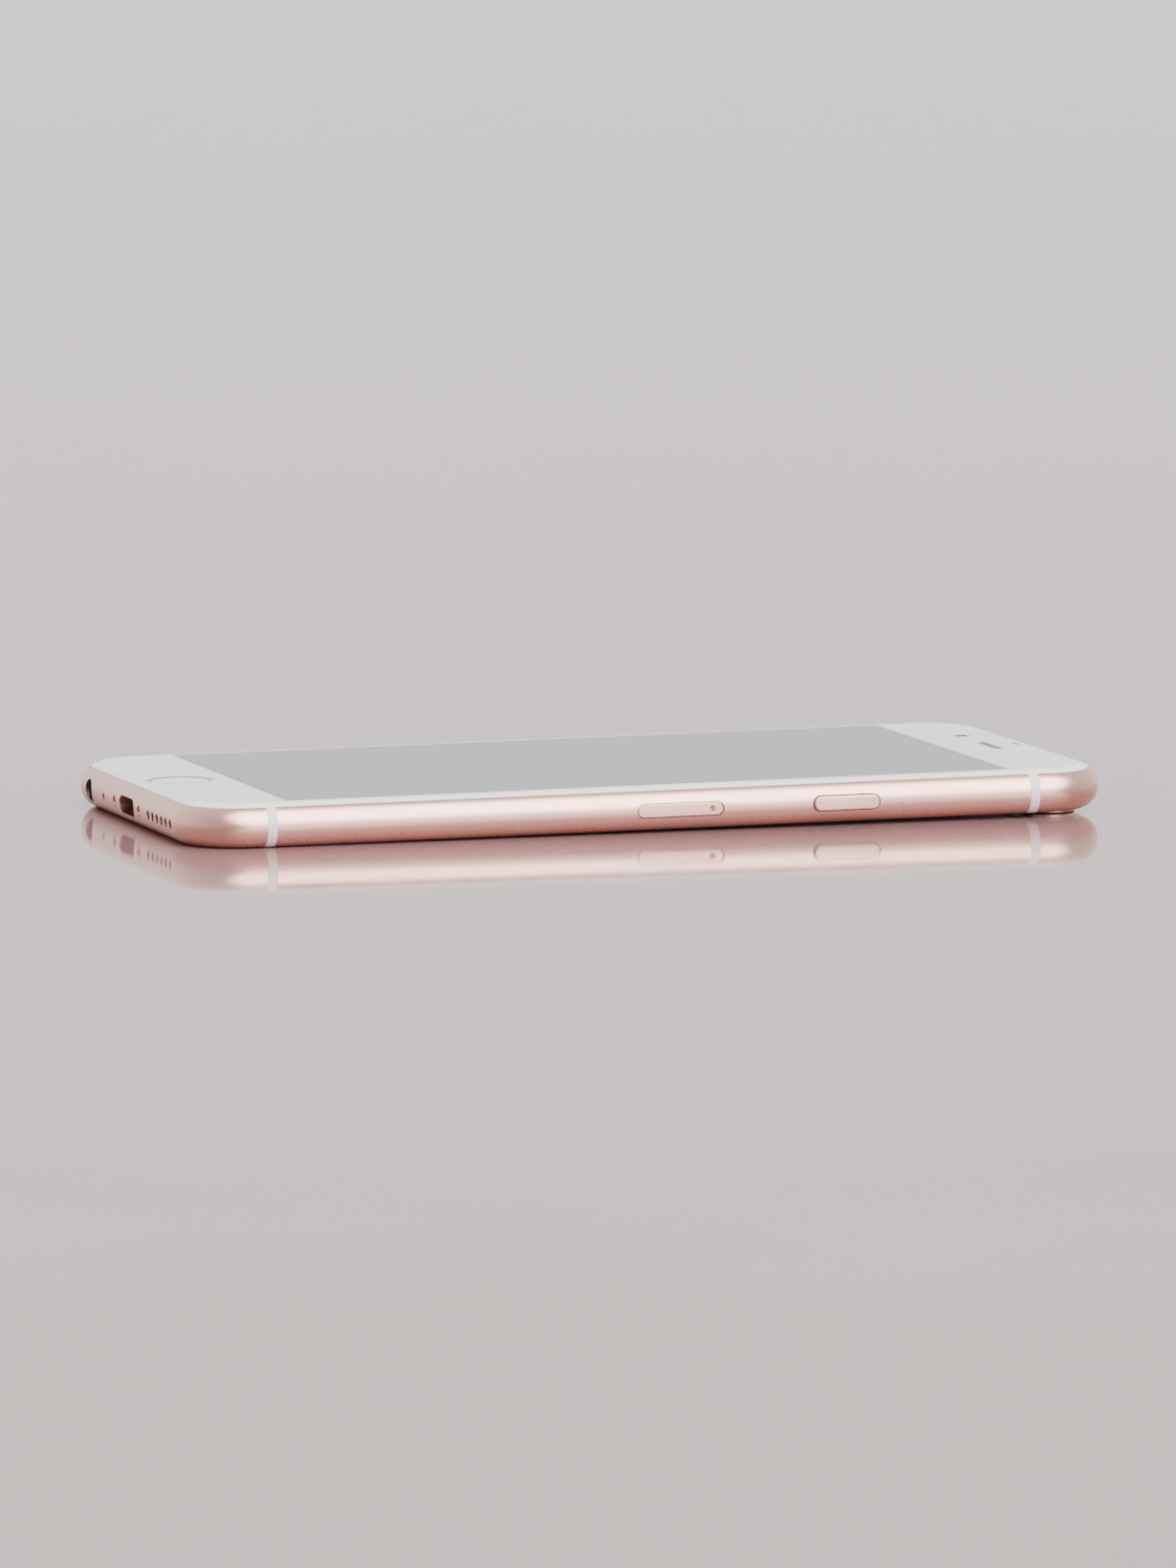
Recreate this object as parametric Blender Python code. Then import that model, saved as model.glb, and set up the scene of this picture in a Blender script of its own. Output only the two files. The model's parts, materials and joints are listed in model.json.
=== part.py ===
"""A slim smartphone with a home button, lying on its back with the screen up.

Frame: +X is the phone's right side, +Y its top end, +Z comes out of the screen. The origin is the
middle of the footprint, in the plane of the rear camera ring, which is the lowest face.
Every size and place below is in millimetres, and add_object() turns them into metres. Heights are
z values over that plane, unless a comment says "above the back", the flat back of the case.
"""

import math

import bmesh
import bpy
from mathutils import Vector

METRES = 0.001  # one millimetre

# Driving dimensions of the whole phone.
LENGTH = 158.2
WIDTH = 77.9
THICKNESS = 7.3  # from the flat back to the glass
CORNER_R = 11.5
CAMERA_PROUD = 0.8  # how far the camera ring stands out of the back

# The case edge is a half ellipse: its reach inwards, and the height of its widest line.
EDGE_REACH = 3.4
EDGE_MID = 3.6
WALL = 2.4  # from the widest line to the inside of the wall
FLOOR = 0.9
LIP_OUTER = 1.2  # inset where the outer curve ends
LIP_INNER = 1.5  # inset of the rim round the glass
LIP_TOP = 6.55
LEDGE = 5.85
GLASS_INSET = 1.62
GLASS_UNDER = 6.5

# The two plastic bands that part the metal of the case.
BAND_Y = 65.0
BAND_WIDTH = 1.6
BOND = 0.15

# Screen, the opaque rim of the panel round it, and the front openings.
SCREEN_X = 68.5
SCREEN_Y = 121.8
PANEL_RIM = (0.95, 2.6)
CHIN_Y = (SCREEN_Y + LENGTH) / 4  # middle of the border above and below the screen
HOME_R = 5.75
EARPIECE_SLOT = (6.2, 0.85)  # half length and half width

# Side keys: middle along the side, half length. All share one height and section.
KEY_Z = 3.45  # above the back
KEY_HALF_Z = 1.25
KEY_PROUD = 0.4
KEY_GAP = 0.2
SIDE_KEY = (32.4, 5.7)
VOLUME_UP = (39.0, 5.3)
VOLUME_DOWN = (26.0, 5.3)
MUTE_Y = 53.5
MUTE_RISE = 0.55  # the slider rests this far above the middle of its slot
MUTE_SLOT = (3.2, 1.3)  # half length and half height

# SIM tray in the right side.
TRAY_Y = 4.0
TRAY_FACE = (7.3, 1.1)  # half length and half height
TRAY_REACH = 20.4
CARD_X = (21.0, 33.3)

# Bottom end.
PORT_Z = 3.3  # above the back
PORT_SHELL = (1.55, 4.6, 1.28, 4.17)  # outer half height and width, inner half height and width
JACK_BORE = 1.8
JACK_X = -24.0
MIC_X = -14.6
BOTTOM_SCREW_X = 7.6
SPEAKER_HOLES = [13.5 + 2.7 * i for i in range(6)]

# Rear camera, rear microphone and flash, in a row near the top.
CAMERA = (27.5, 70.8)
REAR_MIC_X = 19.2
FLASH_X = 13.2

HALF_X = WIDTH / 2
HALF_Y = LENGTH / 2
BACK_Z = CAMERA_PROUD
CORNER_STEPS = 6
FAR = 200  # longer than the phone, for cutters

# What follows each axis in cyclic order: the two directions of a section across it.
ACROSS = {"X": (1, 2, 0), "Y": (2, 0, 1), "Z": (0, 1, 2)}


def clear_scene():
    for obj in list(bpy.data.objects):
        bpy.data.objects.remove(obj)


def finish(name, colour, roughness, metallic=0.0):
    made = bpy.data.materials.new(name)
    made.use_nodes = True
    shader = made.node_tree.nodes["Principled BSDF"]
    shader.inputs["Base Color"].default_value = (*colour, 1.0)
    shader.inputs["Roughness"].default_value = roughness
    shader.inputs["Metallic"].default_value = metallic
    return made


def above_back(*heights):
    """The z values of heights above the back."""
    return [BACK_Z + height for height in heights]


def rounded(half_u, half_v, radius, steps=CORNER_STEPS):
    """Counter-clockwise outline of a rectangle with round corners, centred on 0, 0."""
    points = []
    for quarter, (sign_u, sign_v) in enumerate(((1, 1), (-1, 1), (-1, -1), (1, -1))):
        for step in range(steps + 1):
            angle = math.radians(90 * (quarter + step / steps))
            u = sign_u * (half_u - radius) + radius * math.cos(angle)
            v = sign_v * (half_v - radius) + radius * math.sin(angle)
            points.append((u, v))
    return points


def add_object(name, data, material, place):
    """An object in the scene, with its data round its own origin, in metres, and that origin at place."""
    if material:
        data.materials.append(material)
    obj = bpy.data.objects.new(name, data)
    obj.location = Vector(place) * METRES
    bpy.context.scene.collection.objects.link(obj)
    return obj


def middle_of(points):
    """The middle of the box round these points."""
    return Vector([(min(axis) + max(axis)) / 2 for axis in zip(*points)])


def loft(name, rings, material, closed=False):
    """A solid skinned over rings of equally many points, with its origin in its middle.

    It is capped, or joined end to end if closed.
    """
    place = middle_of([point for ring in rings for point in ring])
    shape = bmesh.new()
    loops = [[shape.verts.new((Vector(point) - place) * METRES) for point in ring] for ring in rings]
    count = len(rings[0])
    pairs = list(zip(loops, loops[1:]))
    if closed:
        pairs.append((loops[-1], loops[0]))
    else:
        shape.faces.new(reversed(loops[0]))
        shape.faces.new(loops[-1])
    for low, high in pairs:
        for i in range(count):
            j = (i + 1) % count
            shape.faces.new((low[i], low[j], high[j], high[i]))
    bmesh.ops.remove_doubles(shape, verts=shape.verts, dist=1e-6)
    mesh = bpy.data.meshes.new(name)
    shape.to_mesh(mesh)
    shape.free()
    mesh.shade_smooth()
    mesh.set_sharp_from_angle(angle=math.radians(35))
    return add_object(name, mesh, material, place)


def stack(name, axis, middle, sections, material, closed=False, steps=CORNER_STEPS):
    """A solid of rounded rectangles (offset, half_u, half_v, radius) along axis, round middle = (u, v).

    u and v are Y and Z for an X axis, Z and X for a Y axis, and X and Y for a Z axis.
    """
    u_axis, v_axis, along = ACROSS[axis]
    rings = []
    for offset, half_u, half_v, radius in sections:
        ring = []
        for u, v in rounded(half_u, half_v, radius, steps):
            point = [0.0, 0.0, 0.0]
            point[u_axis] = middle[0] + u
            point[v_axis] = middle[1] + v
            point[along] = offset
            ring.append(point)
        rings.append(ring)
    return loft(name, rings, material, closed)


def turned(name, axis, middle, profile, material, closed=False, steps=CORNER_STEPS):
    """A turned solid: profile is (offset along axis, radius)."""
    return stack(name, axis, middle, [(o, r, r, r) for o, r in profile], material, closed, steps)


def block(name, low, high, material, radius=0.0):
    """A box from corner low to corner high, both with z above the back; radius rounds its upright edges."""
    middle = ((low[0] + high[0]) / 2, (low[1] + high[1]) / 2)
    half_u, half_v = (high[0] - low[0]) / 2, (high[1] - low[1]) / 2
    steps = 3 if radius else 1
    sections = [(z, half_u, half_v, radius) for z in above_back(low[2], high[2])]
    return stack(name, "Z", middle, sections, material, steps=steps)


def extruded(name, axis, outline, low, high, material):
    """A polygon, counter-clockwise seen from +axis, extruded along it. Its heights are above the back."""
    u_axis, v_axis, along = ACROSS[axis]
    rings = []
    for offset in (low, high):
        ring = []
        for u, v in outline:
            point = [0.0, 0.0, 0.0]
            point[u_axis] = u
            point[v_axis] = v
            point[along] = offset
            ring.append((point[0], point[1], BACK_Z + point[2]))
        rings.append(ring)
    return loft(name, rings, material)


def boolean(target, other, operation):
    other.hide_render = True
    other.display_type = "WIRE"
    modifier = target.modifiers.new(operation.lower(), "BOOLEAN")
    modifier.operation = operation
    modifier.object = other
    return target


def cut(target, *cutters):
    for cutter in cutters:
        boolean(target, cutter, "DIFFERENCE")
    return target


def body_ring(inset, z):
    """The phone's outline, inset from its widest line, at height z."""
    outline = rounded(HALF_X - inset, HALF_Y - inset, CORNER_R - inset)
    return [(x, y, z) for x, y in outline]


def edge_height(inset):
    """Height above the back of the upper curve of the edge, at this inset."""
    return EDGE_MID + (THICKNESS - EDGE_MID) * math.sqrt(1 - ((EDGE_REACH - inset) / EDGE_REACH) ** 2)


# ---------------------------------------------------------------- case

def case_shell():
    """The whole case as one tub: back, half-elliptical edge, rim, ledge under the glass, and floor."""
    profile = []
    under_steps = 4
    for step in range(under_steps + 1):
        angle = math.radians(90 * step / under_steps)
        inset = EDGE_REACH * (1 - math.sin(angle))
        profile.append((inset, EDGE_MID * (1 - math.cos(angle))))
    over_steps = 3
    for step in range(1, over_steps + 1):
        inset = LIP_OUTER * (step / over_steps) ** 2
        profile.append((inset, edge_height(inset)))
    profile += [(LIP_INNER, LIP_TOP), (LIP_INNER, LEDGE), (WALL, LEDGE), (WALL, FLOOR)]
    return [body_ring(inset, BACK_Z + z) for inset, z in profile]


def case_segment(name, low_y, high_y, material):
    """The stretch of the case between two planes across the phone."""
    segment = loft(name, case_shell(), material)
    slab = stack(
        name + "_slab", "Y", (0, 0),
        [(low_y, FAR, FAR, 0), (high_y, FAR, FAR, 0)], None, steps=1,
    )
    return boolean(segment, slab, "INTERSECT")


def build_case(metal, plastic):
    inner = BAND_Y - BAND_WIDTH / 2
    outer = BAND_Y + BAND_WIDTH / 2
    rear = case_segment("rear_case", -inner + BOND, inner - BOND, metal)
    top = case_segment("case_top_end", outer + BOND, FAR, metal)
    bottom = case_segment("case_bottom_end", -FAR, -outer - BOND, metal)
    case_segment("antenna_band_top", inner, outer, plastic)
    case_segment("antenna_band_bottom", -outer, -inner, plastic)
    return rear, top, bottom


# ---------------------------------------------------------------- display and front

def build_front(glass, frame_plastic, panel_black, steel, mesh_grey):
    insets = [GLASS_INSET, 2.0, 2.6, EDGE_REACH]
    rings = [body_ring(GLASS_INSET, BACK_Z + GLASS_UNDER)]
    rings += [body_ring(inset, BACK_Z + edge_height(inset)) for inset in insets]
    cover = loft("cover_glass", rings, glass)
    below, above = above_back(6.0, 8.0)
    hole = turned("home_hole", "Z", (0, -CHIN_Y), [(below, HOME_R), (above, HOME_R)], None, steps=8)
    slot_u, slot_v = EARPIECE_SLOT
    slot = stack(
        "earpiece_hole", "Z", (0, CHIN_Y),
        [(below, slot_u, slot_v, slot_v), (above, slot_u, slot_v, slot_v)], None, steps=4,
    )
    cut(cover, hole, slot)

    low, high = above_back(5.95, 6.4)
    outer, inner = 1.65, 2.6
    rings = [body_ring(outer, low), body_ring(outer, high), body_ring(inner, high), body_ring(inner, low)]
    loft("display_frame", rings, frame_plastic, closed=True)

    x, y = SCREEN_X / 2 + PANEL_RIM[0], SCREEN_Y / 2 + PANEL_RIM[1]
    block("display_panel", (-x, -y, 5.5), (x, y, 6.4), panel_black, 1.0)
    x, y = x - 0.6, y - 1.5
    block("display_shield", (-x, -y, 5.1), (x, y, 5.4), steel, 1.0)

    low, high = above_back(6.6, 7.1)
    stack(
        "earpiece_mesh", "Z", (0, CHIN_Y),
        [(low, 5.95, 0.6, 0.6), (high, 5.95, 0.6, 0.6)],
        mesh_grey, steps=4,
    )
    y = CHIN_Y
    block("earpiece_speaker", (-7.0, y - 3.4, 3.5), (7.0, y + 3.4, 6.3), panel_black, 1.2)
    base, shoulder, top = above_back(3.9, 5.4, 6.35)
    turned(
        "front_camera", "Z", (-14.5, CHIN_Y),
        [(base, 2.9), (shoulder, 2.9), (shoulder, 1.9), (top, 1.9)], panel_black,
    )
    block("proximity_sensor", (-1.6, y + 3.6, 5.3), (1.6, y + 5.6, 6.35), panel_black)


def build_home_button(cap_glass, ring_metal, carrier_plastic, rubber, switch_black, steel):
    middle = (0, -CHIN_Y)
    low, high, crown = above_back(6.7, 7.05, 7.15)
    turned(
        "home_button_cap", "Z", middle,
        [(low, 4.85), (high, 4.85), (crown, 4.6)], cap_glass, steps=8,
    )
    low, edge, top = above_back(6.45, 7.2, 7.3)
    turned(
        "home_button_ring", "Z", middle,
        [
            (low, 5.5),
            (edge, 5.5),
            (top, 5.4),
            (top, 5.2),
            (edge, 4.95),
            (low, 4.95),
        ],
        ring_metal, closed=True, steps=8,
    )
    stem, disc, boss, top = above_back(5.8, 6.0, 6.35, 6.6)
    turned(
        "home_button_carrier", "Z", middle,
        [
            (stem, 1.2),
            (disc, 1.2),
            (disc, 5.5),
            (boss, 5.5),
            (boss, 4.5),
            (top, 4.5),
        ],
        carrier_plastic,
    )
    low, high = above_back(6.1, 6.4)
    turned(
        "home_button_gasket", "Z", middle,
        [(low, 6.3), (high, 6.3), (high, 5.65), (low, 5.65)], rubber, closed=True,
    )
    y = -CHIN_Y
    block("home_button_switch", (-1.6, y - 1.6, 5.2), (1.6, y + 1.6, 5.45), switch_black)
    block("home_button_bracket", (-8.0, y - 4.8, 4.95), (8.0, y + 4.8, 5.1), steel, 1.0)


# ---------------------------------------------------------------- keys in the long sides

def side_slot(name, side, middle_y, half_y, half_z, radius):
    """A cutter through one long side: side is 1 for the right, -1 for the left."""
    ends = sorted((side * (HALF_X + 3), side * (HALF_X - WALL - 1)))
    sections = [(x, half_y, half_z, radius) for x in ends]
    return stack(name, "X", (middle_y, BACK_Z + KEY_Z), sections, None, steps=4)


def push_key(name, side, place, rear_case, metal, switch_black):
    """A push key with its flange behind the wall, and the switch that it presses."""
    middle_y, half_y = place
    slot_z = KEY_HALF_Z + KEY_GAP
    slot = side_slot(name + "_slot", side, middle_y, half_y + KEY_GAP, slot_z, slot_z * 0.999)
    cut(rear_case, slot)
    face = HALF_X + KEY_PROUD
    flange_outer = HALF_X - WALL - 0.15
    flange_inner = flange_outer - 0.5
    nub = flange_inner - 0.4
    cap_r = KEY_HALF_Z * 0.999
    flange_z = KEY_HALF_Z + 0.55
    flange_y = half_y + 0.7
    profile = [
        (nub, 1.6, 0.7, 0.3),
        (flange_inner, 1.6, 0.7, 0.3),
        (flange_inner, flange_y, flange_z, 0.6),
        (flange_outer, flange_y, flange_z, 0.6),
        (flange_outer, half_y, KEY_HALF_Z, cap_r),
        (face - 0.15, half_y, KEY_HALF_Z, cap_r),
        (face, half_y - 0.15, KEY_HALF_Z - 0.15, cap_r - 0.15),
    ]
    if side < 0:
        profile = [(-x, *rest) for x, *rest in reversed(profile)]
    stack(name, "X", (middle_y, BACK_Z + KEY_Z), profile, metal, steps=4)
    low_x, high_x = sorted((side * 34.3, side * 35.1))
    low, high = (low_x, middle_y - 1.8, KEY_Z - 1.2), (high_x, middle_y + 1.8, KEY_Z + 1.2)
    block(name.replace("_key", "_switch"), low, high, switch_black)


def key_bracket(name, side, low_y, high_y, steel):
    low_x, high_x = sorted((side * 33.9, side * 34.2))
    block(name, (low_x, low_y, KEY_Z - 1.5), (high_x, high_y, KEY_Z + 1.5), steel)


def build_mute_switch(rear_case, metal, housing_black):
    """A slider that moves along the phone's thickness, with the shutter that closes its slot."""
    slot_y, slot_z = MUTE_SLOT
    cut(rear_case, side_slot("mute_slot", -1, MUTE_Y, slot_y, slot_z, 0.5))
    rest_z = BACK_Z + KEY_Z + MUTE_RISE
    face = -(HALF_X + KEY_PROUD)
    shutter = -(HALF_X - WALL - 0.15)
    profile = [
        (face, 2.75, 0.5, 0.3),
        (face + 0.15, 2.9, 0.65, 0.3),
        (shutter, 2.9, 0.65, 0.3),
        (shutter, 3.8, 1.85, 0.3),
        (shutter + 0.5, 3.8, 1.85, 0.3),
    ]
    stack("mute_slider", "X", (MUTE_Y, rest_z), profile, metal, steps=3)
    y, z = MUTE_Y, KEY_Z
    block("mute_switch_housing", (-35.7, y - 3.6, z - 1.5), (-34.3, y + 3.6, z + 1.5), housing_black)


def build_sim_tray(rear_case, metal, rubber, card_plastic, steel):
    face_y, face_z = TRAY_FACE
    clearance = 0.15
    slot_z = face_z + clearance
    slot = side_slot("tray_slot", 1, TRAY_Y, face_y + clearance, slot_z, slot_z * 0.999)
    cut(rear_case, slot)
    face = HALF_X - 0.1
    neck = face - 0.95
    root = neck - 0.9
    tip = HALF_X - TRAY_REACH
    plate_z = 0.45
    tray = stack(
        "sim_tray", "X", (TRAY_Y, BACK_Z + KEY_Z),
        [
            (tip, 6.5, plate_z, 0.2),
            (root, 6.5, plate_z, 0.2),
            (root, 7.0, 0.75, 0.7),
            (neck, 7.0, 0.75, 0.7),
            (neck, face_y, face_z, face_z * 0.999),
            (face - 0.1, face_y, face_z, face_z * 0.999),
            (face, face_y - 0.1, face_z - 0.1, face_z * 0.9),
        ],
        metal, steps=4,
    )
    y, z = TRAY_Y, KEY_Z
    low_x, high_x = CARD_X
    pocket = block(
        "card_pocket", (low_x - 0.15, y - 4.55, z - 0.3), (high_x + 0.15, y + 4.55, z + 2), None, 0.8,
    )
    window = block("card_window", (low_x + 1, y - 3.4, z - 2), (high_x - 1, y + 3.4, z), None, 0.8)
    pin_hole = turned(
        "eject_hole", "X", (TRAY_Y + 5.4, BACK_Z + KEY_Z),
        [(root + 0.3, 0.45), (face + 1, 0.45)], None, steps=3,
    )
    cut(tray, pocket, window, pin_hole)
    block("sim_card", (low_x, y - 4.4, z - 0.2), (high_x, y + 4.4, z + 0.45), card_plastic, 0.8)
    seal_low, seal_high = root + 0.15, neck - 0.15
    stack(
        "sim_tray_seal", "X", (TRAY_Y, BACK_Z + KEY_Z),
        [
            (seal_low, 7.35, 1.15, 1.1),
            (seal_high, 7.35, 1.15, 1.1),
            (seal_high, 7.1, 0.85, 0.8),
            (seal_low, 7.1, 0.85, 0.8),
        ],
        rubber, closed=True, steps=4,
    )
    reader = block("sim_reader", (17.2, y - 8.0, 2.7), (33.3, y + 8.0, 4.7), steel)
    bay = block("reader_bay", (17.7, y - 6.8, 2.85), (36.0, y + 6.8, 4.35), None)
    cut(reader, bay)


# ---------------------------------------------------------------- bottom end

def end_hole(name, x, radius, steps=3):
    """A round cutter through the bottom end wall."""
    y = -HALF_Y
    profile = [(y - 2, radius), (y + WALL + 1, radius)]
    return turned(name, "Y", (BACK_Z + PORT_Z, x), profile, None, steps=steps)


def build_bottom_end(bottom, steel, tongue_black, housing_black, mesh_grey, screw_metal):
    y = -HALF_Y
    ends = (y - 2, y + WALL + 1)
    port = stack(
        "port_hole", "Y", (BACK_Z + PORT_Z, 0),
        [(end, 1.45, 4.5, 1.44) for end in ends], None, steps=5,
    )
    jack = end_hole("jack_hole", JACK_X, 1.95, 6)
    cut(bottom, port, jack, end_hole("mic_hole", MIC_X, 0.7))
    for i, x in enumerate(SPEAKER_HOLES):
        cut(bottom, end_hole(f"speaker_hole_{i + 1}", x, 0.75))

    middle = (BACK_Z + PORT_Z, 0)
    mouth, back = y + WALL + 0.15, y + 9.6
    outer_z, outer_x, inner_z, inner_x = PORT_SHELL
    stack(
        "charge_port_shell", "Y", middle,
        [
            (mouth, outer_z, outer_x, outer_z * 0.97),
            (back, outer_z, outer_x, outer_z * 0.97),
            (back, inner_z, inner_x, inner_z * 0.99),
            (mouth, inner_z, inner_x, inner_z * 0.99),
        ],
        steel, closed=True, steps=5,
    )
    base = back - 1.4
    stack(
        "charge_port_tongue", "Y", middle,
        [
            (mouth + 0.5, 0.35, 3.35, 0.1),
            (base, 0.35, 3.35, 0.1),
            (base, 1.15, 4.05, 1.14),
            (back - 0.1, 1.15, 4.05, 1.14),
        ],
        tongue_black, steps=3,
    )
    stack(
        "headphone_jack", "Y", (BACK_Z + PORT_Z, JACK_X),
        [
            (y + 14.4, JACK_BORE, JACK_BORE, JACK_BORE),
            (mouth, JACK_BORE, JACK_BORE, JACK_BORE),
            (mouth, 2.15, 2.9, 0.6),
            (y + 15.2, 2.15, 2.9, 0.6),
        ],
        housing_black,
    )
    x, z = MIC_X, PORT_Z
    block("bottom_microphone", (x - 1.8, -76.4, z - 1.1), (x + 1.8, -72.8, z + 1.1), steel)
    low_x, high_x = SPEAKER_HOLES[0] - 1.1, SPEAKER_HOLES[-1] + 1.1
    block("speaker_mesh", (low_x, -76.5, z - 1.0), (high_x, -76.2, z + 1.0), mesh_grey)
    block("loudspeaker", (11.5, -75.9, 1.05), (29.5, -54.5, 4.9), housing_black, 1.5)
    for side, label in ((-1, "left"), (1, "right")):
        x = side * BOTTOM_SCREW_X
        cut(bottom, end_hole(f"screw_hole_{label}", x, 1.0, 4))
        turned(
            f"bottom_screw_{label}", "Y", (BACK_Z + PORT_Z, x),
            [
                (y + 0.2, 0.85),
                (y + 0.9, 0.85),
                (y + 0.9, 0.55),
                (y + 4.1, 0.55),
            ],
            screw_metal, steps=3,
        )


# ---------------------------------------------------------------- rear camera group

def build_rear_camera(top_end, metal, lens_glass, housing_black, diffuser, mesh_grey):
    camera_y = CAMERA[1]
    below, inside = above_back(-1.5, 1.5)
    cut(
        top_end,
        turned("camera_hole", "Z", CAMERA, [(below, 3.9), (inside, 3.9)], None),
        turned("flash_hole", "Z", (FLASH_X, camera_y), [(below, 2.3), (inside, 2.3)], None, steps=4),
        turned(
            "rear_mic_hole", "Z", (REAR_MIC_X, camera_y),
            [(below, 0.7), (inside, 0.7)], None, steps=3,
        ),
    )
    flange, top = above_back(-0.1, 0.85)
    turned(
        "camera_ring", "Z", CAMERA,
        [
            (top, 3.75),
            (top, 3.2),
            (0.1, 3.2),
            (0.0, 3.3),
            (0.0, 4.45),
            (0.15, 4.6),
            (flange, 4.6),
            (flange, 3.75),
        ],
        metal, closed=True,
    )
    turned(
        "camera_lens_cover", "Z", CAMERA,
        [(0.25, 3.1), (0.75, 3.1)], lens_glass,
    )
    barrel, shoulder, lid = above_back(0.1, 1.15, 5.0)
    stack(
        "rear_camera_module", "Z", CAMERA,
        [
            (barrel, 2.9, 2.9, 2.9),
            (shoulder, 2.9, 2.9, 2.9),
            (shoulder, 4.3, 4.3, 0.6),
            (lid, 4.3, 4.3, 0.6),
        ],
        housing_black,
    )
    low, high = above_back(0.05, 0.9)
    turned(
        "flash_lens", "Z", (FLASH_X, camera_y),
        [(low, 2.1), (high, 2.1)], diffuser, steps=4,
    )
    x, y = REAR_MIC_X, camera_y
    block("rear_microphone", (x - 1.5, y - 2.2, 1.05), (x + 1.5, y + 2.2, 2.2), mesh_grey)


# ---------------------------------------------------------------- inside

def build_inside(cell_black, board_green, steel, tape, flex_amber, connector, coax_grey, screw_metal):
    block("battery", (-33.2, -50.0, 1.25), (14.0, 46.0, 4.65), cell_black, 1.5)
    block("battery_tape_left", (-29.0, -46.0, 1.0), (-20.0, 42.0, 1.15), tape)
    block("battery_tape_right", (0.0, -46.0, 1.0), (9.0, 42.0, 1.15), tape)

    outline = [(15.0, -44.0), (33.4, -44.0), (33.4, 62.5), (-20.0, 62.5), (-20.0, 48.5), (15.0, 48.5)]
    board = extruded("logic_board", "Z", outline, 1.9, 2.6, board_green)
    under, over = above_back(1.0, 3.0)
    foot, seat, crown = above_back(1.05, 2.75, 3.2)
    screw = [(foot, 0.6), (seat, 0.6), (seat, 1.3), (crown, 1.3)]
    for number, spot in ((1, (31.6, 46.4)), (2, (-18.0, 60.4))):
        hole = turned(f"board_hole_{number}", "Z", spot, [(under, 0.8), (over, 0.8)], None, steps=3)
        cut(board, hole)
        turned(f"board_screw_{number}", "Z", spot, screw, screw_metal, steps=3)
    block("processor_shield", (16.0, -42.0, 2.75), (32.6, -6.0, 4.4), steel, 1.0)
    block("radio_shield", (16.0, 16.2, 2.75), (32.6, 44.6, 4.4), steel, 1.0)
    block("display_connectors", (-14.0, 51.0, 2.75), (8.0, 58.8, 3.75), connector)
    block("connector_cover", (-16.0, 50.2, 3.9), (10.0, 60.6, 4.1), steel, 0.8)
    outline = [(59.3, 2.8), (63.1, 2.8), (63.1, 5.4), (62.9, 5.4), (62.9, 3.0), (59.3, 3.0)]
    extruded("display_flex", "X", outline, -12.0, 6.0, flex_amber)

    block("vibration_motor", (-31.0, -61.5, 1.05), (-8.0, -52.4, 4.6), steel, 1.0)
    outline = [
        (-20.0, -69.0), (10.6, -69.0), (10.6, -53.6), (30.0, -53.6), (30.0, -44.3), (24.0, -44.3),
        (24.0, -50.8), (2.0, -50.8), (2.0, -64.0), (-20.0, -64.0),
    ]
    extruded("dock_flex", "Z", outline, 1.05, 1.25, flex_amber)

    route = [(32.6, -62), (34.2, -57), (35, -50), (35.2, -40), (35.2, -30), (34.9, -22), (34.2, -17)]
    curve = bpy.data.curves.new("antenna_coax", "CURVE")
    curve.dimensions = "3D"
    curve.bevel_depth = 0.4 * METRES
    curve.bevel_resolution = 1
    curve.use_fill_caps = True
    middle = middle_of(route)
    line = curve.splines.new("POLY")
    line.points.add(len(route) - 1)
    for point, (x, y) in zip(line.points, route):
        point.co = ((x - middle.x) * METRES, (y - middle.y) * METRES, 0.0, 1.0)
    add_object("antenna_coax", curve, coax_grey, (middle.x, middle.y, BACK_Z + 2.4))


def main():
    clear_scene()
    rose_metal = finish("rose_metal", (0.79, 0.57, 0.53), 0.3, 1.0)
    band_white = finish("band_white", (0.86, 0.83, 0.81), 0.4)
    white_glass = finish("white_glass", (0.85, 0.85, 0.85), 0.06)
    black = finish("black_plastic", (0.03, 0.03, 0.035), 0.45)
    panel_black = finish("panel_black", (0.02, 0.02, 0.025), 0.3)
    steel = finish("steel", (0.62, 0.62, 0.63), 0.3, 1.0)
    rubber = finish("rubber", (0.05, 0.05, 0.05), 0.8)
    mesh_grey = finish("mesh_grey", (0.18, 0.18, 0.19), 0.6)
    lens_glass = finish("lens_glass", (0.02, 0.02, 0.03), 0.05)
    diffuser = finish("diffuser", (0.9, 0.88, 0.75), 0.3)
    board_green = finish("board_green", (0.03, 0.09, 0.06), 0.5)
    tape = finish("tape", (0.9, 0.9, 0.88), 0.6)
    flex_amber = finish("flex_amber", (0.35, 0.16, 0.04), 0.4)
    coax_grey = finish("coax_grey", (0.25, 0.25, 0.26), 0.5)

    rear, top, bottom = build_case(rose_metal, band_white)
    build_front(white_glass, black, panel_black, steel, mesh_grey)
    build_home_button(white_glass, rose_metal, black, rubber, black, steel)
    push_key("side_key", 1, SIDE_KEY, rear, rose_metal, black)
    push_key("volume_up_key", -1, VOLUME_UP, rear, rose_metal, black)
    push_key("volume_down_key", -1, VOLUME_DOWN, rear, rose_metal, black)
    key_bracket("side_key_bracket", 1, 24.0, 41.0, steel)
    key_bracket("volume_key_bracket", -1, 19.0, 59.0, steel)
    build_mute_switch(rear, rose_metal, black)
    build_sim_tray(rear, rose_metal, rubber, tape, steel)
    build_bottom_end(bottom, steel, black, black, mesh_grey, rose_metal)
    build_rear_camera(top, rose_metal, lens_glass, black, diffuser, mesh_grey)
    build_inside(black, board_green, steel, tape, flex_amber, black, coax_grey, steel)


main()
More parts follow.
